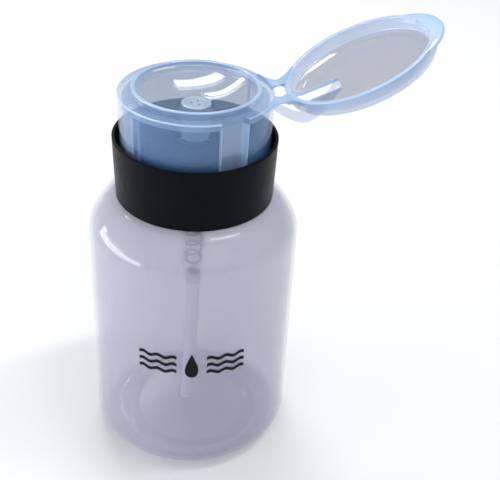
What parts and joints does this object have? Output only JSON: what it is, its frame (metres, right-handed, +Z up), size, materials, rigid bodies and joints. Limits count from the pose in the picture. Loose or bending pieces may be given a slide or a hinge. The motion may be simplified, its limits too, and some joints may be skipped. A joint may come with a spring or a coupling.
{
  "type": "pump dispenser bottle",
  "caption": "Round translucent bottle with a black screw collar and a dished press-down pump head under a flip lid on a snap hinge.",
  "frame": {"origin": "centre of the flat middle of the bottle's base, on the bottle's axis", "axes": "+Z up the bottle, +X from the axis towards the lid's hinge"},
  "size_m": [0.1013, 0.065, 0.1436],
  "materials": {
    "bottle": "glossy, milky translucent polyethylene",
    "clear_plastic": "glossy, bluish translucent polypropylene",
    "black_plastic": "semi-gloss black",
    "natural_plastic": "satin, uncoloured",
    "seal": "matt, soft white",
    "steel": "bright steel"
  },
  "bodies": {
    "bottle": {"bottle": "bottle"},
    "pump_unit": {"pump_housing": "natural_plastic", "neck_gasket": "seal", "stem_guide": "natural_plastic", "dip_tube": "natural_plastic"},
    "suction_ball": {"suction_ball": "steel"},
    "collar": {"collar": "black_plastic"},
    "press": {"press_head": "clear_plastic", "nozzle_plug": "natural_plastic", "stem": "natural_plastic", "piston": "seal", "return_spring": "steel", "hinge_strap_front": "clear_plastic", "hinge_strap_rear": "clear_plastic", "hinge_bow_band": "clear_plastic"},
    "outlet_ball": {"outlet_ball": "steel"},
    "lid": {"lid": "clear_plastic"}
  },
  "joints": [
    {"name": "closure_lift", "type": "slide", "parent": "bottle", "child": "pump_unit", "axis": [0, 0, 1], "range_m": [0, 0.00605]},
    {"name": "closure_turn", "type": "hinge", "parent": "pump_unit", "child": "collar", "pos_m": [0, 0, 0.095], "axis": [0, 0, 1], "range_deg": [0, 540]},
    {"name": "pump_press", "type": "slide", "parent": "collar", "child": "press", "axis": [0, 0, -1], "range_m": [0, 0.006], "stiffness_N_per_m": 1100, "springref_m": -0.004, "deforming": ["return_spring"]},
    {"name": "lid_hinge", "type": "hinge", "parent": "press", "child": "lid", "pos_m": [0.024, 0, 0.1217], "axis": [0, -1, 0], "range_deg": [-15, 153.5], "deforming": ["hinge_strap_front", "hinge_strap_rear", "hinge_bow_band"]},
    {"name": "suction_valve", "type": "slide", "parent": "pump_unit", "child": "suction_ball", "axis": [0, 0, 1], "range_m": [0, 0.0007]},
    {"name": "outlet_valve", "type": "slide", "parent": "press", "child": "outlet_ball", "axis": [0, 0, 1], "range_m": [0, 0.0009]}
  ],
  "couplings": [
    {"joint": "closure_lift", "follows": "closure_turn", "m_per_rad": 0.00063662}
  ]
}
